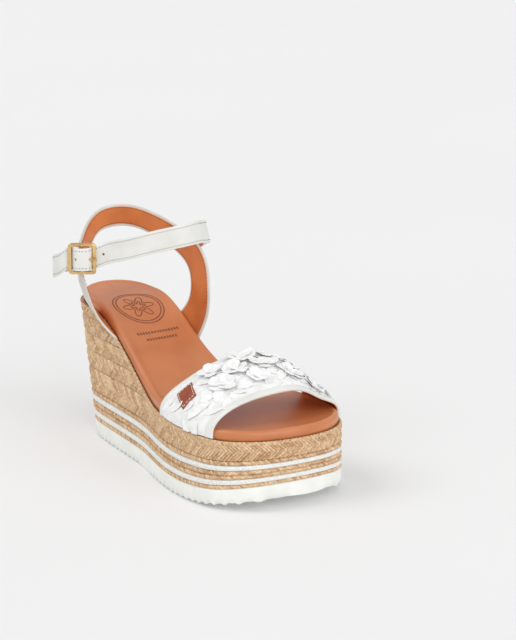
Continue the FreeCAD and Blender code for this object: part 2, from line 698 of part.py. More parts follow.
# Petals of the flowers, low cups on short stalks of cloth; each is (along, across, radius).
PETALS = [(0.30, 0.36, 8.5), (0.62, 0.33, 8.0), (0.18, 0.50, 8.0), (0.50, 0.48, 9.0), (0.80, 0.46, 7.5),
          (0.24, 0.64, 8.5), (0.60, 0.62, 8.5), (0.20, 0.78, 7.5), (0.55, 0.76, 8.0), (0.83, 0.64, 7.0)]
petal_solids = []
for along, across, radius in PETALS:
    root = on_band(along, across, PLY)
    axis = on_band(along, across, 1.0) - on_band(along, across, 0.0)
    petal_solids.append(Part.makeCone(radius * 0.3, radius, size("petal_height"), root + axis * 0.9, axis))
feature("petals", Part.makeCompound(petal_solids))

# ---------------------------------------------------------------- finish

doc.recompute()
failed = [item.Label for item in doc.Objects if "Invalid" in item.State or "Error" in item.State]
if failed:
    raise RuntimeError("objects in error: " + ", ".join(failed))
for node, item in parts.items():
    if item.Shape.isNull() or not item.Shape.isValid():
        raise RuntimeError(node + " has no valid shape")
    item.Shape.exportStep("parts/%s.step" % node)
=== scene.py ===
import math

import bmesh
import bpy
import numpy as np
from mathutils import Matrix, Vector
from mathutils.bvhtree import BVHTree
from mathutils.geometry import delaunay_2d_cdt


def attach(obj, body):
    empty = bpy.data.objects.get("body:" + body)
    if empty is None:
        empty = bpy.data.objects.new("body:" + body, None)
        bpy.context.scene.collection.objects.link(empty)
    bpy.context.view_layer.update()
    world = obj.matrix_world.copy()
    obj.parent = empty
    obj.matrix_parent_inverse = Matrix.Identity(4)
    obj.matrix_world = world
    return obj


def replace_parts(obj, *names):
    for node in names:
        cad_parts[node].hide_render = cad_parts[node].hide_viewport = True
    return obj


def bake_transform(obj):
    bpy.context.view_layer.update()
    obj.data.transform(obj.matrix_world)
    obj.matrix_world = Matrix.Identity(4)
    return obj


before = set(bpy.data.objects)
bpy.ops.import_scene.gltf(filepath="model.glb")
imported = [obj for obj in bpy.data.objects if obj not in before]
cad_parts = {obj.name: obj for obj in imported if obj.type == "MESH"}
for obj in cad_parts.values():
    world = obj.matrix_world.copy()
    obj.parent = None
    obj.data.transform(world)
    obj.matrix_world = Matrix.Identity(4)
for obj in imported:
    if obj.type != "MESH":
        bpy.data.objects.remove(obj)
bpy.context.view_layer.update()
MM = 0.001
chance = np.random.default_rng(7)

# ---------------------------------------------------------------- splines


def unit(rows):
    rows = np.asarray(rows, float)
    return rows / np.linalg.norm(rows, axis=-1, keepdims=True)


def cubic(points, knots, t, closed):
    """Cubic spline through points at knots: periodic when closed, natural when open."""
    points = np.asarray(points, float)
    spans = np.diff(knots)
    count = len(points)
    system = np.eye(count)
    right = np.zeros_like(points)
    if closed:
        following = np.roll(points, -1, 0)
        slopes = (following - points) / spans[:, None]
        system[:] = 0
        for i in range(count):
            system[i, i - 1] += spans[i - 1]
            system[i, i] += 2 * (spans[i - 1] + spans[i])
            system[i, (i + 1) % count] += spans[i]
        right = 6 * (slopes - np.roll(slopes, 1, 0))
    else:
        slopes = np.diff(points, axis=0) / spans[:, None]
        for i in range(1, count - 1):
            system[i, i - 1:i + 2] = spans[i - 1], 2 * (spans[i - 1] + spans[i]), spans[i]
            right[i] = 6 * (slopes[i] - slopes[i - 1])
    bend = np.linalg.solve(system, right)
    i = np.clip(np.searchsorted(knots, t, side="right") - 1, 0, len(spans) - 1)
    j = (i + 1) % count
    h = spans[i][:, None]
    u = (t - knots[i])[:, None]
    w = h - u
    return ((bend[i] * w ** 3 + bend[j] * u ** 3) / (6 * h)
            + (points[i] / h - bend[i] * h / 6) * w + (points[j] / h - bend[j] * h / 6) * u)


def chord_knots(points):
    steps = np.linalg.norm(np.diff(points, axis=0), axis=1)
    return np.concatenate([[0.0], np.cumsum(steps)])


def even(points, count):
    """An open line of samples, respaced evenly."""
    knots = chord_knots(points)
    places = np.linspace(0, knots[-1], count)
    return np.stack([np.interp(places, knots, points[:, k]) for k in range(points.shape[1])], 1)


# ---------------------------------------------------------------- plan of the sole, in millimetres

TOE_Y, SEAT_Y = -118.0, 70.3
OUTSOLE_TOP, PLATFORM_TOP, WEDGE_TOP = 10.5, 45.5, 88.0
SLOPE_START, SLOPE_END, SEAT_TILT = -13.0, 95.0, 0.08
TOE_SPRING, SPRING_START = 8.0, -50.0
HEEL_LEAN, WAIST_TUCK = 0.25, 0.055
BED_HIGH = 6.0
COURSE = 11.5


def round_point(centre, half_width, depth, degrees, power):
    angle = math.radians(degrees)
    reach_x = math.copysign(abs(math.cos(angle)) ** (2 / power), math.cos(angle))
    reach_y = math.copysign(abs(math.sin(angle)) ** (2 / power), math.sin(angle))
    return (centre[0] + half_width * reach_x, centre[1] + depth * reach_y)


plan = [round_point((0, SEAT_Y), 29, 33, a, 2.1) for a in (0, 35, 65)]
plan += [round_point((0, SEAT_Y), 32, 33, a, 2.1) for a in (90, 115, 145, 180)]
plan += [(-36, 34), (-40.5, 2), (-47, -26)]
plan += [round_point((8, -75), 58, 43, a, 2.2) for a in (180, 208, 236, 262)]
plan += [round_point((8, -75), 44, 43, a, 2.4) for a in (290, 318, 345)]
plan += [(51.5, -62), (48, -38), (36.5, -6), (28.5, 34)]
plan = np.array(plan)
knots = chord_knots(np.vstack([plan, plan[:1]]))
TABLE = 4000
ring = cubic(plan, knots, np.linspace(0, knots[-1], TABLE + 1), True)
ring_arc = chord_knots(ring)
ROUND = ring_arc[-1]
tangent = unit(np.roll(ring[:-1], -1, 0) - np.roll(ring[:-1], 1, 0))
tangent = np.vstack([tangent, tangent[:1]])
ring_normal = np.stack([tangent[:, 1], -tangent[:, 0]], 1)


def smooth(value):
    value = np.clip(value, 0, 1)
    return value * value * (3 - 2 * value)


def bed(y):
    """Height of the wedge under the footbed."""
    rise = smooth((y - SLOPE_START) / (SLOPE_END - SLOPE_START))
    return PLATFORM_TOP + (WEDGE_TOP - PLATFORM_TOP) * rise + SEAT_TILT * np.maximum(y - SLOPE_END, 0)


def level(height, y):
    """A layer's height: the toe curls up, less towards the upper face of the platform."""
    lift = TOE_SPRING * (1 - np.clip((height - OUTSOLE_TOP) / (PLATFORM_TOP - OUTSOLE_TOP), 0, 1))
    return height + lift * (np.maximum(SPRING_START - y, 0) / (SPRING_START - TOE_Y)) ** 2


def wall(arc, inset, height):
    """Points on the wall at an arc length along the outline, an inset and a height."""
    arc, inset, height = np.broadcast_arrays(np.mod(arc, ROUND), inset, height)
    x = np.interp(arc, ring_arc, ring[:, 0]) - inset * np.interp(arc, ring_arc, ring_normal[:, 0])
    y = np.interp(arc, ring_arc, ring[:, 1]) - inset * np.interp(arc, ring_arc, ring_normal[:, 1])
    back = HEEL_LEAN * height * smooth((y + 15) / 110)
    tuck = np.where(x < 0, WAIST_TUCK * height * smooth(1 - np.abs(y - 30) / 85), 0)
    return np.stack([x + tuck, y + back, level(height, y + back)], -1)


# ---------------------------------------------------------------- meshes


def add(name, verts, faces, material, slot, body="sandal", smooth_shade=True, tone=None):
    """A mesh from points in millimetres, riding on a body of the frame."""
    mesh = bpy.data.meshes.new(name)
    mesh.from_pydata((np.asarray(verts) * MM).tolist(), [], [list(map(int, f)) for f in faces])
    if tone is not None:
        layer = mesh.attributes.new("tone", "FLOAT", "POINT")
        layer.data.foreach_set("value", np.asarray(tone, np.float32))
    mesh.validate()
    mesh.polygons.foreach_set("use_smooth", [smooth_shade] * len(mesh.polygons))
    mesh.materials.append(material)
    piece = bpy.data.objects.new(name, mesh)
    bpy.context.scene.collection.objects.link(piece)
    if body:
        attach(piece, body)
    return piece


def grid_faces(rows, columns, start=0, close_rows=False, close_columns=False):
    faces = []
    for r in range(rows if close_rows else rows - 1):
        for c in range(columns if close_columns else columns - 1):
            r2, c2 = (r + 1) % rows, (c + 1) % columns
            faces.append([start + r * columns + c, start + r * columns + c2,
                          start + r2 * columns + c2, start + r2 * columns + c])
    return faces


class Heap:
    """Many small grids gathered into one mesh."""

    def __init__(self):
        self.verts, self.faces, self.tones, self.count = [], [], [], 0

    def grid(self, points, tone=0.5, **closed):
        rows, columns = points.shape[:2]
        self.faces += grid_faces(rows, columns, self.count, **closed)
        self.verts.append(points.reshape(-1, 3))
        self.tones.append(np.full(rows * columns, tone) if np.isscalar(tone) else tone.reshape(-1))
        self.count += rows * columns

    def cap(self, outline, height, spacing, down=False):
        """Fill a closed outline with a fine net that follows a height."""
        low, high = outline[:, :2].min(0), outline[:, :2].max(0)
        net = [(x, y) for x in np.arange(low[0], high[0], spacing)
               for y in np.arange(low[1], high[1], spacing)]
        flat = [Vector(p) for p in outline[:, :2].tolist()] + [Vector(p) for p in net]
        edges = [(i, (i + 1) % len(outline)) for i in range(len(outline))]
        points, _, faces, _, _, _ = delaunay_2d_cdt(flat, edges, [], 1, 1e-5)
        points = np.array([tuple(p) for p in points])
        z = height(points[:, 0], points[:, 1])
        z[:len(outline)] = outline[:, 2]
        for face in faces:
            corners = points[list(face)]
            turn = np.cross(corners[1] - corners[0], corners[2] - corners[0])
            face = list(face) if (turn > 0) != down else list(face)[::-1]
            self.faces.append([self.count + i for i in face])
        self.verts.append(np.column_stack([points, z]))
        self.tones.append(np.full(len(points), 0.5))
        self.count += len(points)

    def build(self, name, material, slot, weld=False, **options):
        piece = add(name, np.vstack(self.verts), self.faces, material, slot,
                    tone=np.concatenate(self.tones), **options)
        if weld:
            work = bmesh.new()
            work.from_mesh(piece.data)
            bmesh.ops.remove_doubles(work, verts=work.verts, dist=2e-5)
            bmesh.ops.recalc_face_normals(work, faces=work.faces)
            work.to_mesh(piece.data)
            work.free()
        return piece


def tube(centres, radius, sides, outward, closed):
    """Rings of points round a line; outward is a rough side direction for each point."""
    if closed:
        along = unit(np.roll(centres, -1, 0) - np.roll(centres, 1, 0))
    else:
        along = unit(np.gradient(centres, axis=0))
    side = unit(outward - along * (outward * along).sum(1, keepdims=True))
    other = np.cross(along, side)
    angle = np.linspace(0, 2 * math.pi, sides, endpoint=False)
    radius = np.broadcast_to(radius, len(centres))[:, None, None]
    return centres[:, None] + radius * (np.cos(angle)[None, :, None] * side[:, None]
                                        + np.sin(angle)[None, :, None] * other[:, None])


# ---------------------------------------------------------------- materials


def colour(r, g, b):
    values = [c / 255 for c in (r, g, b)]
    return tuple(c / 12.92 if c <= 0.04045 else ((c + 0.055) / 1.055) ** 2.4 for c in values) + (1.0,)


def finish(name, low, high, rough=0.5, tone_scale=40.0, tone_detail=3.0, grain=0.0, grain_scale=900.0,
           grain_kind="noise", toned=0.0, metallic=0.0, sheen=0.0, coat=0.0, through=0.0,
           glow=0.0):
    """Two tones mixed by noise, a fine bump, and a tone per strand where wanted."""
    made = bpy.data.materials.new(name)
    made.use_nodes = True
    nodes, links = made.node_tree.nodes, made.node_tree.links
    shader = nodes["Principled BSDF"]
    shader.inputs["Roughness"].default_value = rough
    shader.inputs["Metallic"].default_value = metallic
    shader.inputs["Sheen Weight"].default_value = sheen
    shader.inputs["Coat Weight"].default_value = coat
    shader.inputs["Coat Roughness"].default_value = 0.35
    shader.inputs["IOR"].default_value = 1.45
    place = nodes.new("ShaderNodeTexCoord")
    noise = nodes.new("ShaderNodeTexNoise")
    noise.inputs["Scale"].default_value = tone_scale
    noise.inputs["Detail"].default_value = tone_detail
    links.new(place.outputs["Object"], noise.inputs["Vector"])
    ramp = nodes.new("ShaderNodeValToRGB")
    ramp.color_ramp.elements[0].position = 0.3
    ramp.color_ramp.elements[1].position = 0.7
    ramp.color_ramp.elements[0].color = low
    ramp.color_ramp.elements[1].color = high
    value = noise.outputs["Fac"]
    if toned:
        tone = nodes.new("ShaderNodeAttribute")
        tone.attribute_name = "tone"
        mix = nodes.new("ShaderNodeMix")
        mix.inputs["Factor"].default_value = toned
        links.new(value, mix.inputs["A"])
        links.new(tone.outputs["Fac"], mix.inputs["B"])
        value = mix.outputs["Result"]
    links.new(value, ramp.inputs["Fac"])
    links.new(ramp.outputs["Color"], shader.inputs["Base Color"])
    if grain:
        if grain_kind == "pebble":
            pattern = nodes.new("ShaderNodeTexVoronoi")
            height = pattern.outputs["Distance"]
        else:
            pattern = nodes.new("ShaderNodeTexNoise")
            pattern.inputs["Detail"].default_value = 4.0
            height = pattern.outputs["Fac"]
        pattern.inputs["Scale"].default_value = grain_scale
        links.new(place.outputs["Object"], pattern.inputs["Vector"])
        bump = nodes.new("ShaderNodeBump")
        bump.inputs["Strength"].default_value = grain
        bump.inputs["Distance"].default_value = 0.0004
        links.new(height, bump.inputs["Height"])
        links.new(bump.outputs["Normal"], shader.inputs["Normal"])
    if glow:
        shader.inputs["Emission Color"].default_value = (1, 1, 1, 1)
        shader.inputs["Emission Strength"].default_value = glow
    if through:
        shader.inputs["Subsurface Weight"].default_value = through
        shader.inputs["Subsurface Radius"].default_value = (0.002, 0.002, 0.002)
    return made


WHITE = finish("white leather", colour(226, 227, 222), colour(238, 238, 234), rough=0.42, tone_scale=60,
               grain=0.18, grain_scale=1400, grain_kind="pebble", coat=0.1)
# The heel strap is the same white leather, given a darker copy of its colour: painted shade.
SHADED_HEEL_WHITE = finish("heel strap leather with painted shade", colour(208, 206, 198), colour(226, 225, 219), rough=0.42,
                    tone_scale=60, grain=0.18, grain_scale=1400, grain_kind="pebble", coat=0.1)
PETAL = finish("petal cloth", colour(240, 241, 240), colour(250, 250, 250), rough=0.75, tone_scale=250,
               grain=0.3, grain_scale=1600, sheen=0.3, through=0.3)
LACE = finish("band cloth", colour(232, 233, 230), colour(248, 248, 246), rough=0.8, tone_scale=160,
              tone_detail=5, grain=0.5, grain_scale=420, sheen=0.3)
TAN = finish("tan lining", colour(194, 106, 52), colour(224, 136, 76), rough=0.55, tone_scale=35,
             grain=0.2, grain_scale=1300, grain_kind="pebble")
JUTE = finish("jute", colour(184, 136, 90), colour(246, 218, 180), rough=0.85, tone_scale=620, toned=0.3,
              grain=1.0, grain_scale=1500, sheen=0.15)
# Dark brown jute: painted shade for the gaps between leaves and rows, on the sheet behind the braid and
# on the wedge core.
JUTE_PAINTED_SHADE = finish("jute painted shade", colour(92, 64, 38), colour(134, 98, 62), rough=0.9, tone_scale=500,
                    grain=0.6)
CORD = finish("white cord", colour(224, 225, 221), colour(246, 246, 243), rough=0.8, tone_scale=700,
              grain=0.8, grain_scale=900, sheen=0.2)
SOLE = finish("outsole foam", colour(236, 238, 232), colour(247, 248, 244), rough=0.6, tone_scale=90,
              grain=0.15, grain_scale=1800)
GOLD = finish("gold plate", colour(212, 172, 110), colour(240, 206, 148), rough=0.2, tone_scale=120,
              grain=0.05, grain_scale=600, metallic=1.0)
BROWN = finish("tag leather", colour(136, 58, 30), colour(172, 84, 48), rough=0.5, tone_scale=200,
               grain=0.4, grain_scale=1500, grain_kind="pebble")
THREAD = finish("thread", colour(214, 213, 207), colour(236, 235, 230), rough=0.7, tone_scale=900,
                grain=0.3)
# Grey: painted shade in the needle holes.
NEEDLE_HOLE_PAINTED_SHADE = finish("needle hole painted shade", colour(96, 92, 84), colour(128, 124, 116), rough=0.9, tone_scale=300,
              grain=0.1)
# Dark grey: painted shade inside the strap holes.
HOLE_PAINTED_SHADE = finish("hole painted shade", colour(74, 66, 58), colour(92, 84, 74), rough=0.9, tone_scale=300, grain=0.1)
DARK_THREAD = finish("lining thread", colour(92, 44, 20), colour(120, 62, 30), rough=0.8, tone_scale=400,
                     grain=0.2)

# ---------------------------------------------------------------- sole

arcs = np.linspace(0, ROUND, 720, endpoint=False)


TOOTH_PITCH, TOOTH_DEPTH, WAIST_LAND = 6.5, 1.6, 9.7


def ring_rows(profile, heights, places=arcs):
    """Rows round the outline for a profile of (inset, height); heights turns it into a height."""
    rows = []
    for inset, rise in profile:
        flat = wall(places, inset, 0.0)
        rows.append(wall(places, inset, heights(flat[:, 1], rise)))
    return np.array(rows)


def tread(points):
    """Lift a low row where the tread's notches cross the edge."""
    offset = np.abs((points[:, 1] - TOE_Y) / TOOTH_PITCH % 1 - 0.5) * TOOTH_PITCH
    notch = np.clip(1.5 - offset / 1.9, 0, 1) * TOOTH_DEPTH
    points[:, 2] += np.where(np.abs(points[:, 1]) > WAIST_LAND, notch, 0)
    return points


sole = Heap()
SOLE_PROFILE = [(5, 0), (0.7, 0), (0.15, 0.5), (0, 1.4), (0, 5), (0, 9.4), (0.2, 10.1),
                (0.9, OUTSOLE_TOP), (5, OUTSOLE_TOP)]
rows = ring_rows(SOLE_PROFILE, lambda y, rise: rise)
for number in range(3):
    rows[number] = tread(rows[number])
rows[2][:, 2] = np.minimum(rows[2][:, 2], rows[3][:, 2] - 0.1)
sole.grid(rows, close_columns=True)
sole.cap(rows[0], lambda x, y: level(0.0 * y, y) + 1.0, 9, down=True)
sole.cap(rows[-1], lambda x, y: level(OUTSOLE_TOP + 0 * y, y), 9)
outsole = sole.build("outsole_moulding", SOLE, "outsole_white", weld=True)
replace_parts(outsole, "outsole")

# ---------------------------------------------------------------- ropes and cords


def twisted_rope(name, node, low, high, pitch=6.2, twist=-1):
    """Three strands twisted round a line that runs round the sole."""
    radius = (high - low) / 2 * 1.04
    strand = radius / 2.155 * 1.06
    turns = round(ROUND / pitch)
    arc = np.linspace(0, ROUND, turns * 10, endpoint=False)
    rope = Heap()
    for number in range(3):
        swing = twist * 2 * math.pi * turns * arc / ROUND + number * 2 * math.pi / 3
        reach = radius - strand
        inset = radius - 0.1 - reach * np.cos(swing)
        centres = wall(arc, inset, (low + high) / 2 + reach * np.sin(swing))
        outward = wall(arc, -5.0, (low + high) / 2) - wall(arc, 5.0, (low + high) / 2)
        places = np.interp(arc, np.linspace(0, ROUND, 90), chance.random(90))
        points = tube(centres, strand, 7, outward, True)
        rope.grid(points, np.repeat(places, 7), close_rows=True, close_columns=True)
    piece = rope.build(name, JUTE, "jute")
    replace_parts(piece, node)


def plain_cord(name, node, low, high):
    """A flattened smooth cord round the sole."""
    angle = np.linspace(0, 2 * math.pi, 14, endpoint=False)
    half = (high - low) / 2
    rows = []
    for a in angle:
        out = np.sign(math.cos(a)) * abs(math.cos(a)) ** 0.75
        up = np.sign(math.sin(a)) * abs(math.sin(a)) ** 0.75
        ripple = 0.05 * np.sin(arcs * 2 * math.pi / 1.7 + 3 * a)
        rows.append(wall(arcs, 1.35 - 1.4 * out - ripple, (low + high) / 2 + (half - 0.05) * up))
    cord = Heap()
    cord.grid(np.array(rows), close_rows=True, close_columns=True)
    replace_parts(cord.build(name, CORD, "white_cord"), node)


twisted_rope("rope_ring_1", "rope_1_jute", 10.5, 13.3, 5.0)
plain_cord("cord_ring_2", "rope_2_white", 13.3, 17.3)
twisted_rope("rope_ring_3", "rope_3_jute", 17.3, 20.6)
twisted_rope("rope_ring_4", "rope_4_jute", 20.6, 23.9)
plain_cord("cord_ring_5", "rope_5_white", 23.9, 27.9)
twisted_rope("rope_ring_6", "rope_6_jute", 27.9, 31.2)

# ---------------------------------------------------------------- braided jute


def braid(name, node, low, high, pitch=2.5, slope=0.9):
    """Two rows of slanting leaves that meet in a zigzag, cut off by the slope of the bed."""
    middle = low + (high - low) * 0.47
    low, high = low + 0.2, high - 0.2
    count = round(ROUND / pitch)
    across = np.linspace(-1, 1, 5)
    along = np.linspace(0, 1, 7)
    leaves = Heap()
    for bottom, top, lean in ((middle - 0.5, high, -1), (middle + 0.5, low, -1)):
        for number in range(count):
            start = (number + chance.uniform(-0.06, 0.06)) * ROUND / count
            start += ROUND / count / 2 if top < bottom else 0
            centre = wall(np.array([start]), 0.0, (bottom + top) / 2)[0]
            if min(bottom, top) > bed(centre[1]) - 1.0:
                continue
            heights = bottom + (top - bottom) * along
            swell = chance.uniform(0.85, 1.1)
            shift = lean * slope * np.abs(heights - bottom)
            arc = start + shift[:, None] + across[None] * ROUND / count * 0.5
            rise = heights[:, None] + across[None] * 0.25 * (1 if top > bottom else -1)
            crown = np.sqrt(np.clip(1 - across ** 2, 0, 1))[None]
            taper = (np.sin(math.pi * np.clip(along, 0.03, 0.97)) ** 0.4)[:, None]
            points = wall(arc, 1.5 - 1.55 * swell * crown * taper, rise)
            points[..., 2] = np.minimum(points[..., 2], bed(points[..., 1]) + 0.5)
            leaves.grid(points, chance.uniform(0.15, 0.85))
    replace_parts(leaves.build(name, JUTE, "jute"), node)


braid("braid_ring_1", "braid_1", 31.3, 46.9)
for number in range(2, 6):
    course_low = 47 + (number - 2) * COURSE
    braid("braid_ring_%d" % number, "braid_%d" % number, course_low, course_low + COURSE, 2.3)

# A dark sheet behind the braid, coloured as painted shade for the gaps between its leaves.
shade_sheet = Heap()
BACKING_INSET, EDGING_INSET = 1.6, 1.3
foot = wall(arcs, BACKING_INSET, OUTSOLE_TOP + 0.1)
flat = wall(arcs, BACKING_INSET, PLATFORM_TOP)
for _ in range(4):
    flat = wall(arcs, BACKING_INSET, bed(flat[:, 1]) - 0.15)
shelf = wall(arcs, 5.0, bed(flat[:, 1]) - 0.15)
steps = np.linspace(0, 1, 12)[:, None, None]
shade_sheet.grid(foot[None] + (flat - foot)[None] * steps, close_columns=True)
shade_sheet.grid(np.array([flat, shelf]), close_columns=True)
shade_sheet.build("wrap_painted_shade", JUTE_PAINTED_SHADE, "jute")

edge_line = wall(arcs, EDGING_INSET, PLATFORM_TOP)
for _ in range(5):
    edge_line = wall(arcs, EDGING_INSET, bed(edge_line[:, 1]) - 0.9)
edge_out = wall(arcs, EDGING_INSET - 1, PLATFORM_TOP) - wall(arcs, EDGING_INSET + 1, PLATFORM_TOP)
edging = Heap()
for number in range(2):
    swing = 2 * math.pi * (number / 2 + ROUND / 5.5 * np.arange(len(arcs)) / len(arcs))
    offset = np.stack([0.5 * np.cos(swing), 0.5 * np.sin(swing)], 1)
    line = edge_line + unit(edge_out) * offset[:, :1] + np.array([[0, 0, 1.0]]) * offset[:, 1:]
    edging.grid(tube(line, 0.85, 8, edge_out, True), close_rows=True, close_columns=True)
edging.build("wrap_edging", JUTE, "jute")

# ---------------------------------------------------------------- footbed

BED_LEATHER = finish("footbed leather", colour(192, 112, 66), colour(214, 136, 86), rough=0.38,
                     tone_scale=18, grain=0.12, grain_scale=1500, grain_kind="pebble", coat=0.35)
STAMP = finish("stamped leather", colour(128, 72, 46), colour(150, 90, 60), rough=0.6, tone_scale=200,
               grain=0.2)

BED_PROFILE = [(3.0, 0.05), (2.75, 0.3), (2.5, 1.3), (2.35, 2.7), (2.4, 4.1), (2.8, 5.4), (3.5, 6.35),
           (4.4, 6.9), (5.3, 7.0), (6.1, 6.85), (6.9, 6.45), (8.0, 6.15), (10, 6.02), (16, 6.0)]


def on_bed(inset, rise):
    """The outline at an inset, a little above the wedge's sloping face."""
    flat = wall(arcs, inset, 60.0)
    for _ in range(5):
        flat = wall(arcs, inset, bed(flat[:, 1]) + rise)
    flat[:, 2] = bed(flat[:, 1]) + rise
    return flat


def bed_top(x, y):
    """The footbed's upper face, slightly hollow under the heel."""
    return bed(y) + BED_HIGH - 0.5 * smooth(1 - np.hypot(x, (y - 70) * 0.7) / 30)


footbed = Heap()
rows = np.array([on_bed(inset, rise) for inset, rise in BED_PROFILE])
footbed.grid(rows, close_columns=True)
footbed.cap(rows[-1], bed_top, 3.0)
footbed = footbed.build("footbed_pad", BED_LEATHER, "tan_leather", weld=True)
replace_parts(footbed, "footbed_cover", "footbed_foam", "insole_board")

stamp = Heap()
bpy.context.view_layer.update()
pressed = BVHTree.FromObject(footbed, bpy.context.evaluated_depsgraph_get())


def line_on_bed(x, y, half):
    """A thin closed line laid on the bed, through points across and along."""
    loop = np.stack([x, y], 1)
    side = unit(np.roll(loop, -1, 0) - np.roll(loop, 1, 0))
    side = np.stack([side[:, 1], -side[:, 0]], 1)
    rows = []
    for reach in (-half, half):
        flat = (loop + side * reach) * MM
        spots = [pressed.ray_cast(Vector((u, v, 0.2)), Vector((0, 0, -1)))[0] for u, v in flat]
        rows.append(np.array([tuple(spot) for spot in spots]) / MM + (0, 0, 0.08))
    stamp.grid(np.array(rows), close_columns=True)


STAMP_X, STAMP_Y = -1.0, 75.0
sweep = np.linspace(0, 2 * math.pi, 160, endpoint=False)
for reach in (17.5, 15.4):
    line_on_bed(STAMP_X + reach * np.cos(sweep), STAMP_Y + reach * np.sin(sweep), 0.45)
for reach in (11.5, 5.5):
    bloom = reach * (0.72 + 0.28 * np.cos(6 * sweep))
    line_on_bed(STAMP_X + bloom * np.cos(sweep), STAMP_Y + bloom * np.sin(sweep), 0.42)
for row, last in ((-25.5, 7), (-31, 5)):
    for number in range(-last, last + 1):
        line_on_bed(STAMP_X + number * 2.2 + 0.45 * np.cos(sweep[::16]),
                    STAMP_Y + row + 0.8 * np.sin(sweep[::16]), 0.4)
stamp.build("footbed_stamp", STAMP, "tan_leather")

# ---------------------------------------------------------------- straps


class Ribbon:
    """A strip through stations of (upper edge, lower edge, outward side)."""

    def __init__(self, stations, steps=320):
        rows = np.array([np.concatenate(s) for s in stations], float)
        knots = chord_knots((rows[:, :3] + rows[:, 3:6]) / 2)
        fine = cubic(rows, knots, np.linspace(0, knots[-1], steps), False)
        middle = (fine[:, :3] + fine[:, 3:6]) / 2
        self.arc = chord_knots(middle)
        self.upper, self.lower = fine[:, :3], fine[:, 3:6]
        along = unit(np.gradient(middle, axis=0))
        down = unit(self.lower - self.upper)
        normal = unit(np.cross(along, down))
        facing = np.sign((normal * fine[:, 6:9]).sum(1, keepdims=True))
        self.normal = normal * np.where(facing == 0, 1, facing)
        self.down = down
        self.width = np.linalg.norm(self.lower - self.upper, axis=1)

    def at(self, arc, down, depth):
        """A point by distance along, below the upper edge (above the lower if negative), and out."""
        pick = [np.stack([np.interp(arc, self.arc, a[:, k]) for k in range(3)], -1)
                for a in (self.upper, self.down, self.normal)]
        width = np.interp(arc, self.arc, self.width)
        drop = np.where(np.asarray(down) < 0, width + down, down)
        return pick[0] + pick[1] * np.asarray(drop)[..., None] + pick[2] * np.asarray(depth)[..., None]

    def solid(self, inner, outer, margin=0.0, ends=0.6):
        """Closed section with rounded edges, along the whole strip."""
        half, centre = (outer - inner) / 2, (outer + inner) / 2
        angle = np.linspace(-90, 90, 7)
        heap = Heap()
        tip = np.array([0, ends * 0.3, ends])
        length = self.arc[-1]
        places = np.concatenate([tip, np.linspace(ends * 2, length - ends * 2, 300), length - tip[::-1]])
        loops = []
        for index, place in enumerate(places):
            from_end = min(index, len(places) - 1 - index)
            narrow = {0: ends, 1: ends * 0.45}.get(from_end, 0)
            thick = half * {0: 0.35, 1: 0.75}.get(from_end, 1.0)
            width = np.interp(place, self.arc, self.width)
            loop = []
            for a in angle:
                c, s = math.cos(math.radians(a)), math.sin(math.radians(a))
                loop.append((margin + narrow + half * 0.8 * (1 - c), centre + thick * s))
            for share in (0.2, 0.4, 0.6, 0.8):
                loop.append((margin + (width - 2 * margin) * share, centre + thick))
            for a in angle[::-1]:
                c, s = math.cos(math.radians(a)), math.sin(math.radians(a))
                loop.append((width - margin - narrow - half * 0.8 * (1 - c), centre + thick * s))
            for share in (0.8, 0.6, 0.4, 0.2):
                loop.append((margin + (width - 2 * margin) * share, centre - thick))
            loop = np.array(loop)
            loops.append(self.at(np.full(len(loop), place), loop[:, 0], loop[:, 1]))
        points = np.array(loops)
        heap.grid(points, close_columns=True)
        size = points.shape[1]
        heap.faces.append(list(range(size))[::-1])
        heap.faces.append([heap.count - size + i for i in range(size)])
        return heap


def capsule(heap, start, end, radius, outward, tone=0.5):
    """A short rounded thread between two points."""
    share = np.array([0, 0.12, 0.35, 0.65, 0.88, 1])[:, None]
    size = radius * np.array([0.25, 0.75, 1, 1, 0.75, 0.25])
    centres = start + (end - start) * share
    heap.grid(tube(centres, size, 6, np.repeat(outward[None], 6, 0), False), tone, close_columns=True)


def stitch_row(heap, ribbon, down, depth, start, end, pitch=2.5, length=1.6, radius=0.24):
    for place in np.arange(start, end - length, pitch):
        first, last = (ribbon.at(np.array([p]), np.array([down]), np.array([depth]))[0]
                       for p in (place, place + length))
        side = ribbon.at(np.array([place]), np.array([down]), np.array([depth + 1.0]))[0] - first
        capsule(heap, first, last, radius, side, chance.random())


def edge_x(py, side, inset):
    """Distance from the middle to the top edge of the wedge at a station."""
    line = wall(np.linspace(0, ROUND, 3000), inset, bed(np.array([py]))[0])
    near = line[line[:, 0] * side > 0]
    order = np.argsort(near[:, 1])
    return np.interp(py, near[order, 1], near[order, 0])


def foot_point(py, side, depth):
    return (edge_x(py, side, 2.3 - depth), py, float(bed(np.array(py))) + 1.1)


HEEL_STRAP = [
    (foot_point(43, 1, 0), foot_point(68, 1, 0)), ((31, 38.5, 86), (30, 61.5, 93)),
    ((32.5, 38.5, 106), (31.5, 60.5, 105)), ((34, 44, 122), (32.5, 65, 113.5)),
    ((34.5, 55, 132), (33, 73.5, 119)), ((33.5, 75, 139.5), (31.5, 87, 124.5)),
    ((27.5, 101, 146.5), (26.5, 104, 130.5)), ((15.5, 119.5, 150.5), (15, 119.5, 135)),
    ((-1, 123.5, 148.8), (-1, 122.5, 133.3)), ((-16, 116, 142), (-12, 116.5, 127.2)),
    ((-27, 104, 136), (-22, 108.5, 120.5)), ((-37.5, 89, 135.5), (-29.5, 101, 118.5)),
    ((-45.2, 77, 133), (-34.5, 94, 115.5)), ((-46.5, 70, 121), (-37, 90, 110.5)),
    ((-43.5, 67, 106), (-36.5, 87.5, 105)), ((-38.5, 62.5, 90), (-34.5, 86, 97.5)),
    (foot_point(54, -1, 0), foot_point(85, -1, 0)),
]
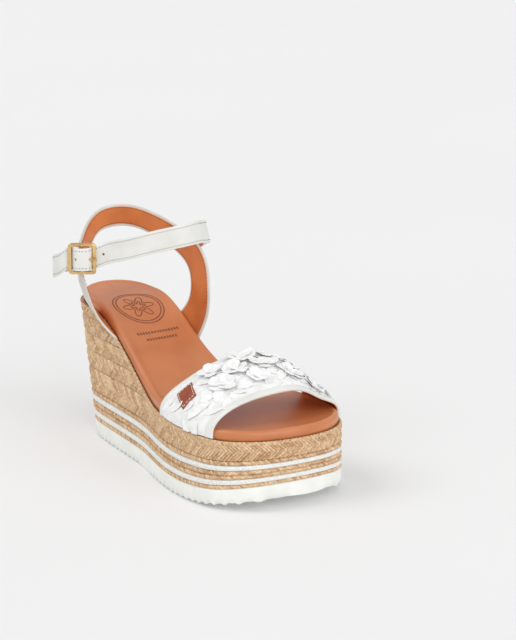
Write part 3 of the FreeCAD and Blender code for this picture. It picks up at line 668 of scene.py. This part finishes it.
heel = Ribbon([(up, low, ((up[0] + low[0]) / 2, (up[1] + low[1]) / 2 - 62, 0))
               for up, low in HEEL_STRAP])
piece = heel.solid(0.3, 1.78).build("heel_strap_leather", SHADED_HEEL_WHITE, "white_leather", weld=True)
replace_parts(piece, "heel_strap_outer")
piece = heel.solid(0.0, 0.5, margin=1.7).build("heel_strap_inside", TAN, "tan_leather", weld=True)
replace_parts(piece, "heel_strap_lining")
seams = Heap()
outside = Heap()
for down in (2.4, -2.4):
    stitch_row(seams, heel, down, -0.02, 22, heel.arc[-1] - 22, pitch=2.0, length=0.9, radius=0.27)
    stitch_row(outside, heel, down, 1.8, 22, heel.arc[-1] - 22)
seams.build("heel_strap_inner_stitches", DARK_THREAD, "tan_leather")
outside.build("heel_strap_outer_stitches", THREAD, "white_leather")

TURN = math.radians(-33)
BUCKLE = np.array([-50, 64.5, 131.5])
ALONG = np.array([math.cos(TURN), math.sin(TURN), 0])
OUT = np.array([math.sin(TURN), -math.cos(TURN), 0])
HALF, UNDER, OVER = 8.1, 2.44, 3.22
WIDE = 15.5 / 2


def strap_station(x, y, z, hint, lean=0.0):
    """Edges above and below a middle point; lean draws the upper edge in towards the ankle."""
    upper = (x - lean, y + lean * 0.5, z + WIDE)
    return (upper, (x + lean * 0.4, y - lean * 0.2, z - WIDE), tuple(hint))


def weave(distance, depth, drop):
    place = BUCKLE + ALONG * distance + OUT * depth
    return strap_station(place[0], place[1], place[2] + drop, OUT)


outer_face = heel.at(np.repeat(heel.arc, 9), np.tile(np.linspace(0.5, 14, 9), len(heel.arc)),
                     np.full(len(heel.arc) * 9, 1.78))
stations = []
for y, z in ((71, 132), (62, 134.5), (54, 138.5)):
    near = outer_face[(np.abs(outer_face[:, 1] - y) < 2) & (outer_face[:, 0] > 0)]
    stations.append(strap_station(near[:, 0].max() + 1.1, y, z, (1, 0, 0)))
stations.append(strap_station(37.0, 46.3, 142.6, (1, -0.4, 0), 2.0))
CROSSING = [(-29.5, 47.5, 138.2, 0), (-15, 37, 142.8, 0), (0, 31, 145.8, 0), (13, 30, 147.0, 0.6),
            (23, 33.5, 146.6, 1.6), (29.5, 38.5, 144.8, 2.6)]
stations += [strap_station(x, y, z, (x, y - 75, 0), lean) for x, y, z, lean in CROSSING[::-1]]
THREADING = [(HALF + 6.7, -UNDER + 0.6, 2.9), (HALF + 1.6, -UNDER, 0.7), (HALF - 0.6, -UNDER, 0.1),
             (5.0, 0.9, 0.1), (2.9, OVER - 0.3, 0), (0, OVER - 0.1, 0), (-2.9, OVER - 0.3, 0),
             (-5.0, 0.9, -0.1), (0.6 - HALF, -UNDER, -0.1), (-HALF - 1.6, -UNDER, -0.4)]
stations += [weave(*place) for place in THREADING]
stations += [strap_station(x, y, z, (-1, 0, 0))
             for x, y, z in ((-60, 75.5, 127.5), (-59.8, 83, 124.5), (-57, 91, 121.5))]
ankle = Ribbon(stations, 520)
middle = (ankle.upper + ankle.lower) / 2
buckle_arc = ankle.arc[np.argmin(np.linalg.norm(middle - BUCKLE, axis=1))]


TURNING = np.linspace(0, 2 * math.pi, 14, endpoint=False)


def punch(piece, places):
    """Round holes through a strap."""
    heap = Heap()
    for place in places:
        spot = np.array([place])
        inner, outer = (ankle.at(spot, np.array([WIDE]), np.array([d]))[0] for d in (-3.0, 3.0))
        side = ankle.at(spot, np.array([WIDE + 1]), np.array([0.0]))[0] - (inner + outer) / 2
        centres = np.linspace(inner, outer, 2)
        points = tube(centres, HOLE_RADIUS, 16, np.repeat(side[None], 2, 0), False)
        first = heap.count
        heap.grid(points, close_columns=True)
        heap.faces += [[first + i for i in range(16)][::-1], [first + 16 + i for i in range(16)]]
    cutter = heap.build("cutter", NEEDLE_HOLE_PAINTED_SHADE, "white_leather", weld=True)
    step = piece.modifiers.new("holes", "BOOLEAN")
    step.object = cutter
    step.solver = "EXACT"
    bpy.context.view_layer.update()
    cut = bpy.data.meshes.new_from_object(piece.evaluated_get(bpy.context.evaluated_depsgraph_get()))
    piece.modifiers.clear()
    piece.data = cut
    bpy.data.objects.remove(cutter)


HOLES = [buckle_arc - 17.6, buckle_arc - 10.7, buckle_arc + 3.8]
HOLE_RADIUS = 0.8
strap = ankle.solid(-0.06, 0.89).build("ankle_strap_leather", WHITE, "white_leather", weld=True,
                                       body=None)
punch(strap, HOLES)
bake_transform(strap)
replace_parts(strap, "ankle_strap_outer", "ankle_strap_end_outer", "strap_tail_outer")
strap = ankle.solid(-0.89, -0.04, margin=0.35).build("ankle_strap_inside", TAN, "tan_leather", weld=True,
                                                     body=None)
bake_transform(strap)
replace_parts(strap, "ankle_strap_lining", "ankle_strap_end_lining", "strap_tail_lining")
threads, needle_shades, hole_shades = Heap(), Heap(), Heap()
# Dark grey discs inside each hole: painted shade in the holes.
for place in HOLES:
    for depth in (0.3, -0.93):
        disc = [ankle.at(place + reach * np.cos(TURNING), WIDE + reach * np.sin(TURNING),
                         np.full(len(TURNING), depth)) for reach in (HOLE_RADIUS + 0.05, 0.04)]
        hole_shades.grid(np.array(disc), close_columns=True)
hole_shades = hole_shades.build("strap_hole_painted_shade", HOLE_PAINTED_SHADE, "white_leather", body=None)
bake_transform(hole_shades)
# Grey dots between the stitches: painted shade in the needle holes.
for down in (1.9, -1.9):
    stitch_row(threads, ankle, down, 0.9, 4, ankle.arc[-1] - 3, pitch=2.0, length=1.3, radius=0.2)
    stitch_row(needle_shades, ankle, down, 0.86, 5.35, ankle.arc[-1] - 3, pitch=2.0, length=0.6, radius=0.33)
threads = threads.build("ankle_strap_stitches", THREAD, "white_leather", body=None)
needle_shades = needle_shades.build("ankle_strap_needle_hole_shade", NEEDLE_HOLE_PAINTED_SHADE, "white_leather", body=None)
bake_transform(threads)
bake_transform(needle_shades)

# The wedge core takes the dark jute colour: painted shade seen through the gaps in the braid and ropes.
SHOWN = (("buckle_frame", GOLD, "gold"), ("buckle_prong", GOLD, "gold"),
         ("buckle_tab", WHITE, "white_tape"), ("wedge_core", JUTE_PAINTED_SHADE, "wedge_core"))
for node, material, slot in SHOWN:
    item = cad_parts[node]
    item.data.materials.clear()
    item.data.materials.append(material)

# ---------------------------------------------------------------- front band

ARCHES = [
    (-29, [(-43.6, -30, 57.5), (-31, -33, 67.5), (-9, -38, 78.5), (13, -43, 82), (31, -47, 77.5),
           (43.5, -50, 63.5)], -51),
    (-60, [(-47.2, -60.5, 57.5), (-36, -62, 67.5), (-12, -66, 76.5), (9, -69, 79.5), (28, -72, 74.5),
           (43.5, -74, 61.5)], -74),
    (-91, [(-44.5, -91.5, 55.5), (-33, -93, 64.5), (-17, -95, 69.3), (1, -97, 71.5), (18, -98, 70),
           (33.5, -97.5, 62)], -95),
]
arches = [(low, np.array(crown, float), high) for low, crown, high in ARCHES]
arches.insert(1, tuple((a + b) / 2 for a, b in zip(arches[0], arches[1])))
arches.insert(3, tuple((a + b) / 2 for a, b in zip(arches[2], arches[3])))
ACROSS, DEEP = 193, 97
lines = []
for low, crown, high in arches:
    feet = np.array([foot_point(low, -1, 1.78), foot_point(high, 1, 1.78)])
    knees = feet + np.array([(0.4, 0, 5.5), (-0.4, 0, 5.5)])
    points = np.vstack([feet[:1], knees[:1], crown, knees[1:], feet[1:]])
    knots = chord_knots(points)
    lines.append(even(cubic(points, knots, np.linspace(0, knots[-1], 800), False), ACROSS))
lines = np.array(lines).reshape(5, -1)
sheet = cubic(lines, np.linspace(0, 1, 5), np.linspace(0, 1, DEEP), False).reshape(DEEP, ACROSS, 3)
sheet_normal = unit(np.cross(np.gradient(sheet, axis=1), np.gradient(sheet, axis=0)))
if sheet_normal[DEEP // 2, ACROSS // 2, 2] < 0:
    sheet_normal = -sheet_normal


def on_band(along, across, depth):
    """A point on the band: along the foot (0 rear, 1 front), across (0 lateral, 1 medial), depth."""
    along, across, depth = np.broadcast_arrays(along, across, depth)
    r, c = np.clip(along, 0, 1) * (DEEP - 1), np.clip(across, 0, 1) * (ACROSS - 1)
    i, j = np.minimum(r.astype(int), DEEP - 2), np.minimum(c.astype(int), ACROSS - 2)
    u, v = (r - i)[..., None], (c - j)[..., None]
    place, normal = (s[i, j] * (1 - u) * (1 - v) + s[i + 1, j] * u * (1 - v) + s[i, j + 1] * (1 - u) * v
                     + s[i + 1, j + 1] * u * v for s in (sheet, sheet_normal))
    return place + unit(normal) * depth[..., None]


BAND_LONG = 62.0
BAND_WIDE = 165.0


TAG_REAR, TAG_SHEAR = 0.16, -0.15


def patch(along, across, inner, outer, counts, edge=0.5, puff=None, shear=0.0):
    """A closed slab on the band with rounded edges; puff adds relief to its outer face."""
    def spread(first, last, count, length):
        margin = edge / length
        inside = np.linspace(first + margin, last - margin, count)
        return np.concatenate([[first, first + margin * 0.3], inside, [last - margin * 0.3, last]])
    a = spread(along[0], along[1], counts[0], BAND_LONG)
    b = spread(across[0], across[1], counts[1], BAND_WIDE)

    def profile(count):
        shape = np.ones(count)
        shape[[0, -1]] = 0.45
        shape[[1, -2]] = 0.85
        return shape
    lift = np.minimum(profile(len(a))[:, None], profile(len(b))[None])
    half, centre = (outer - inner) / 2, (outer + inner) / 2
    a = a[:, None]
    b = b[None] + shear * (a - along[0])
    top = on_band(a, b, centre + half * lift + (puff(a, b) * lift if puff else 0))
    bottom = on_band(a, b, centre - half * lift)
    heap = Heap()
    heap.grid(top)
    heap.grid(bottom[:, ::-1])
    n, m = lift.shape
    rim = [(0, c) for c in range(m)] + [(r, m - 1) for r in range(1, n)]
    rim += [(n - 1, c) for c in range(m - 2, -1, -1)] + [(r, 0) for r in range(n - 2, 0, -1)]
    for (r1, c1), (r2, c2) in zip(rim, rim[1:] + rim[:1]):
        heap.faces.append([r1 * m + c1, n * m + r1 * m + m - 1 - c1,
                           n * m + r2 * m + m - 1 - c2, r2 * m + c2])
    return heap


def crumple(a, b):
    """Gathered cloth: soft leaf-shaped ridges."""
    x, y = a * BAND_LONG, b * BAND_WIDE
    lengthways = np.sin(x * 0.9 + 2.2 * np.sin(y * 0.31))
    return 0.22 * (lengthways * np.sin(y * 0.62 + 1.7 * np.sin(x * 0.4)) + 0.6)


cloth = patch((0.015, 0.985), (0, 1), -0.9, -0.05, (90, 190), puff=crumple)
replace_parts(cloth.build("band_cloth", LACE, "white_leather", weld=True), "band_outer")
inside = patch((0.02, 0.98), (0, 1), -1.78, -0.95, (60, 150))
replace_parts(inside.build("band_inside", TAN, "tan_leather", weld=True), "band_lining")
rear = patch((0, 0.062), (0, 1), -1.5, 0.75, (8, 160), edge=0.9)
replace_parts(rear.build("band_edge_rear", WHITE, "white_leather", weld=True), "band_binding_rear")
front = patch((0.91, 1.0), (0, 1), -1.5, 0.75, (9, 160), edge=0.9)
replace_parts(front.build("band_edge_front", WHITE, "white_leather", weld=True), "band_binding_front")
tag = patch((TAG_REAR, 0.48), (0.135, 0.228), 0.25, 1.05, (10, 10), edge=0.5, shear=TAG_SHEAR)
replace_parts(tag.build("tag_leather", BROWN, "brown_leather", weld=True), "side_tag")
tag_seam = Heap()
A0, A1, B0, B1 = 0.18, 0.46, 0.143, 0.22
TAG_SIDES = (((A0, B0), (A1, B0), 6), ((A1, B0), (A1, B1), 4),
             ((A1, B1), (A0, B1), 6), ((A0, B1), (A0, B0), 4))
for first, last, count in TAG_SIDES:
    for number in range(count):
        ends = [np.array(first) + (np.array(last) - first) * (number + k) / count for k in (0.15, 0.8)]
        ends = [(a, b + TAG_SHEAR * (a - TAG_REAR)) for a, b in ends]
        points = [on_band(a, b, 1.1) for a, b in ends]
        side = on_band(*ends[0], 2.0) - points[0]
        capsule(tag_seam, points[0], points[1], 0.28, side)
tag_seam.build("tag_stitches", THREAD, "brown_leather")

# ---------------------------------------------------------------- petals


def petal(heap, along, across, heading, length, width, rise, tilt, under):
    """A thin cupped round petal that starts at a flower's middle."""
    around = np.linspace(0, 2 * math.pi, 26, endpoint=False)[None]
    share = np.concatenate([[0.02, 0.3, 0.55, 0.78, 0.93, 1.0], [1.0, 0.93, 0.7, 0.35, 0.02]])[:, None]
    away = np.abs((around + math.pi) % (2 * math.pi) - math.pi)
    rim = 1 + 0.05 * np.cos(3 * around + heading * 4) - 0.13 * np.exp(-(away / 0.4) ** 2)
    forward = length * (0.5 + 0.55 * share * rim * np.cos(around))
    sideways = width / 2 * share * rim * np.sin(around)
    far = np.clip(forward / length, 0, 1.2)
    wave = 0.28 * np.sin(sideways * 0.55 + heading * 3) + 0.22 * np.sin(forward * 0.8 + heading * 5)
    lift = under + rise * far ** 1.6 + 0.014 * sideways ** 2 + wave * far + tilt * sideways / width
    lift[6:] -= np.array([0.22, 0.26, 0.28, 0.28, 0.28])[:, None]
    c, s = math.cos(heading), math.sin(heading)
    a = along + (forward * c - sideways * s) / BAND_LONG
    b = across + (forward * s + sideways * c) / BAND_WIDE
    points = on_band(a, b, lift)
    lengthwise = unit(on_band(np.array(0.3), np.array(0.5), np.array(0.0))
                      - on_band(np.array(0.2), np.array(0.5), np.array(0.0)))
    beyond = (np.maximum(0, a - 1) + np.minimum(0, a)) * BAND_LONG
    points = points + lengthwise * beyond[..., None]
    points[..., 2] -= 0.25 * np.abs(beyond)
    heap.grid(points, chance.uniform(0.3, 0.7), close_columns=True)


FLOWERS = [(0.20, 0.33, 10), (0.56, 0.31, 12), (0.36, 0.42, 12), (0.10, 0.50, 13), (0.66, 0.47, 10),
           (0.40, 0.56, 12), (0.12, 0.64, 12), (0.60, 0.66, 11), (0.34, 0.74, 12), (0.70, 0.80, 9),
           (0.14, 0.80, 11), (0.44, 0.86, 11), (0.20, 0.92, 8), (0.60, 0.94, 8)]
blooms = Heap()
for along, across, reach in FLOWERS:
    turn = chance.uniform(0, 2 * math.pi)
    for number in range(5):
        heading = turn + 2 * math.pi * number / 5 + chance.uniform(-0.3, 0.3)
        petal(blooms, along, across, heading, reach * chance.uniform(0.75, 1.15),
              reach * chance.uniform(0.75, 1.05), chance.uniform(0.8, 3.0), chance.uniform(-1.2, 1.2),
              0.5 + 0.5 * (number % 2) + chance.uniform(0, 0.5))
    for number in range(2):
        heading = turn + 0.5 + math.pi * number
        petal(blooms, along, across, heading, reach * 0.45, reach * 0.4, chance.uniform(1.5, 3.0), 0,
              1.2)
LEAVES = 88
for number in range(LEAVES):
    across = 0.03 + 0.94 * (number + chance.uniform(-0.4, 0.4)) / LEAVES
    along = 0.10 + 0.74 * (number * 0.618 % 1)
    near_tag = 0.08 < across < 0.27 and along < 0.58
    if near_tag:
        continue
    heading = chance.uniform(0.8, 2.4) + math.pi * (number % 2)
    petal(blooms, along, across, heading, chance.uniform(12, 17), chance.uniform(5, 7),
          chance.uniform(0.1, 0.9), chance.uniform(-0.6, 0.6), 0.35)
blooms = blooms.build("petal_cloth", PETAL, "petal_cloth")
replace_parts(blooms, "petals")

# ---------------------------------------------------------------- floor, light, camera

FLOOR = finish("floor", colour(228, 228, 228), colour(230, 230, 230), rough=0.9, tone_scale=2, glow=0.09)
mesh = bpy.data.meshes.new("floor")
mesh.from_pydata([(-6, -6, 0), (6, -6, 0), (6, 6, 0), (-6, 6, 0)], [], [(0, 1, 2, 3)])
mesh.materials.append(FLOOR)
floor = bpy.data.objects.new("floor", mesh)
bpy.context.scene.collection.objects.link(floor)

world = bpy.data.worlds.new("studio")
world.use_nodes = True
nodes, links = world.node_tree.nodes, world.node_tree.links
sky = nodes["Background"]
sky.inputs["Strength"].default_value = 0.6
place = nodes.new("ShaderNodeTexCoord")
split = nodes.new("ShaderNodeSeparateXYZ")
ramp = nodes.new("ShaderNodeValToRGB")
ramp.color_ramp.elements[0].position = 0.02
ramp.color_ramp.elements[1].position = 0.35
ramp.color_ramp.elements[0].color = (0.32, 0.32, 0.33, 1)
ramp.color_ramp.elements[1].color = (1.12, 1.12, 1.12, 1)
links.new(place.outputs["Generated"], split.inputs["Vector"])
links.new(split.outputs["Z"], ramp.inputs["Fac"])
links.new(ramp.outputs["Color"], sky.inputs["Color"])
bpy.context.scene.world = world


def soft_sun(name, source, strength, spread):
    data = bpy.data.lights.new(name, "SUN")
    data.energy = strength
    data.angle = math.radians(spread)
    lamp = bpy.data.objects.new(name, data)
    lamp.rotation_euler = Vector(source).to_track_quat("Z", "Y").to_euler()
    bpy.context.scene.collection.objects.link(lamp)


soft_sun("key", (-0.75, 0.35, 1.0), 0.85, 40)
soft_sun("front", (0.0, -1.0, 0.42), 1.25, 60)

AZIMUTH, ELEVATION = math.radians(-33.11), math.radians(15)
back = Vector((math.sin(AZIMUTH) * math.cos(ELEVATION), -math.cos(AZIMUTH) * math.cos(ELEVATION),
               math.sin(ELEVATION)))
lens = bpy.data.cameras.new("camera")
lens.lens = 146.25
lens.sensor_width = 36
lens.clip_end = 30
camera = bpy.data.objects.new("camera", lens)
camera.location = (-0.8699, -1.4068, 0.5395)
camera.rotation_euler = (-back).to_track_quat("-Z", "Y").to_euler()
bpy.context.scene.collection.objects.link(camera)
bpy.context.scene.camera = camera
bpy.context.scene.view_settings.view_transform = "Standard"
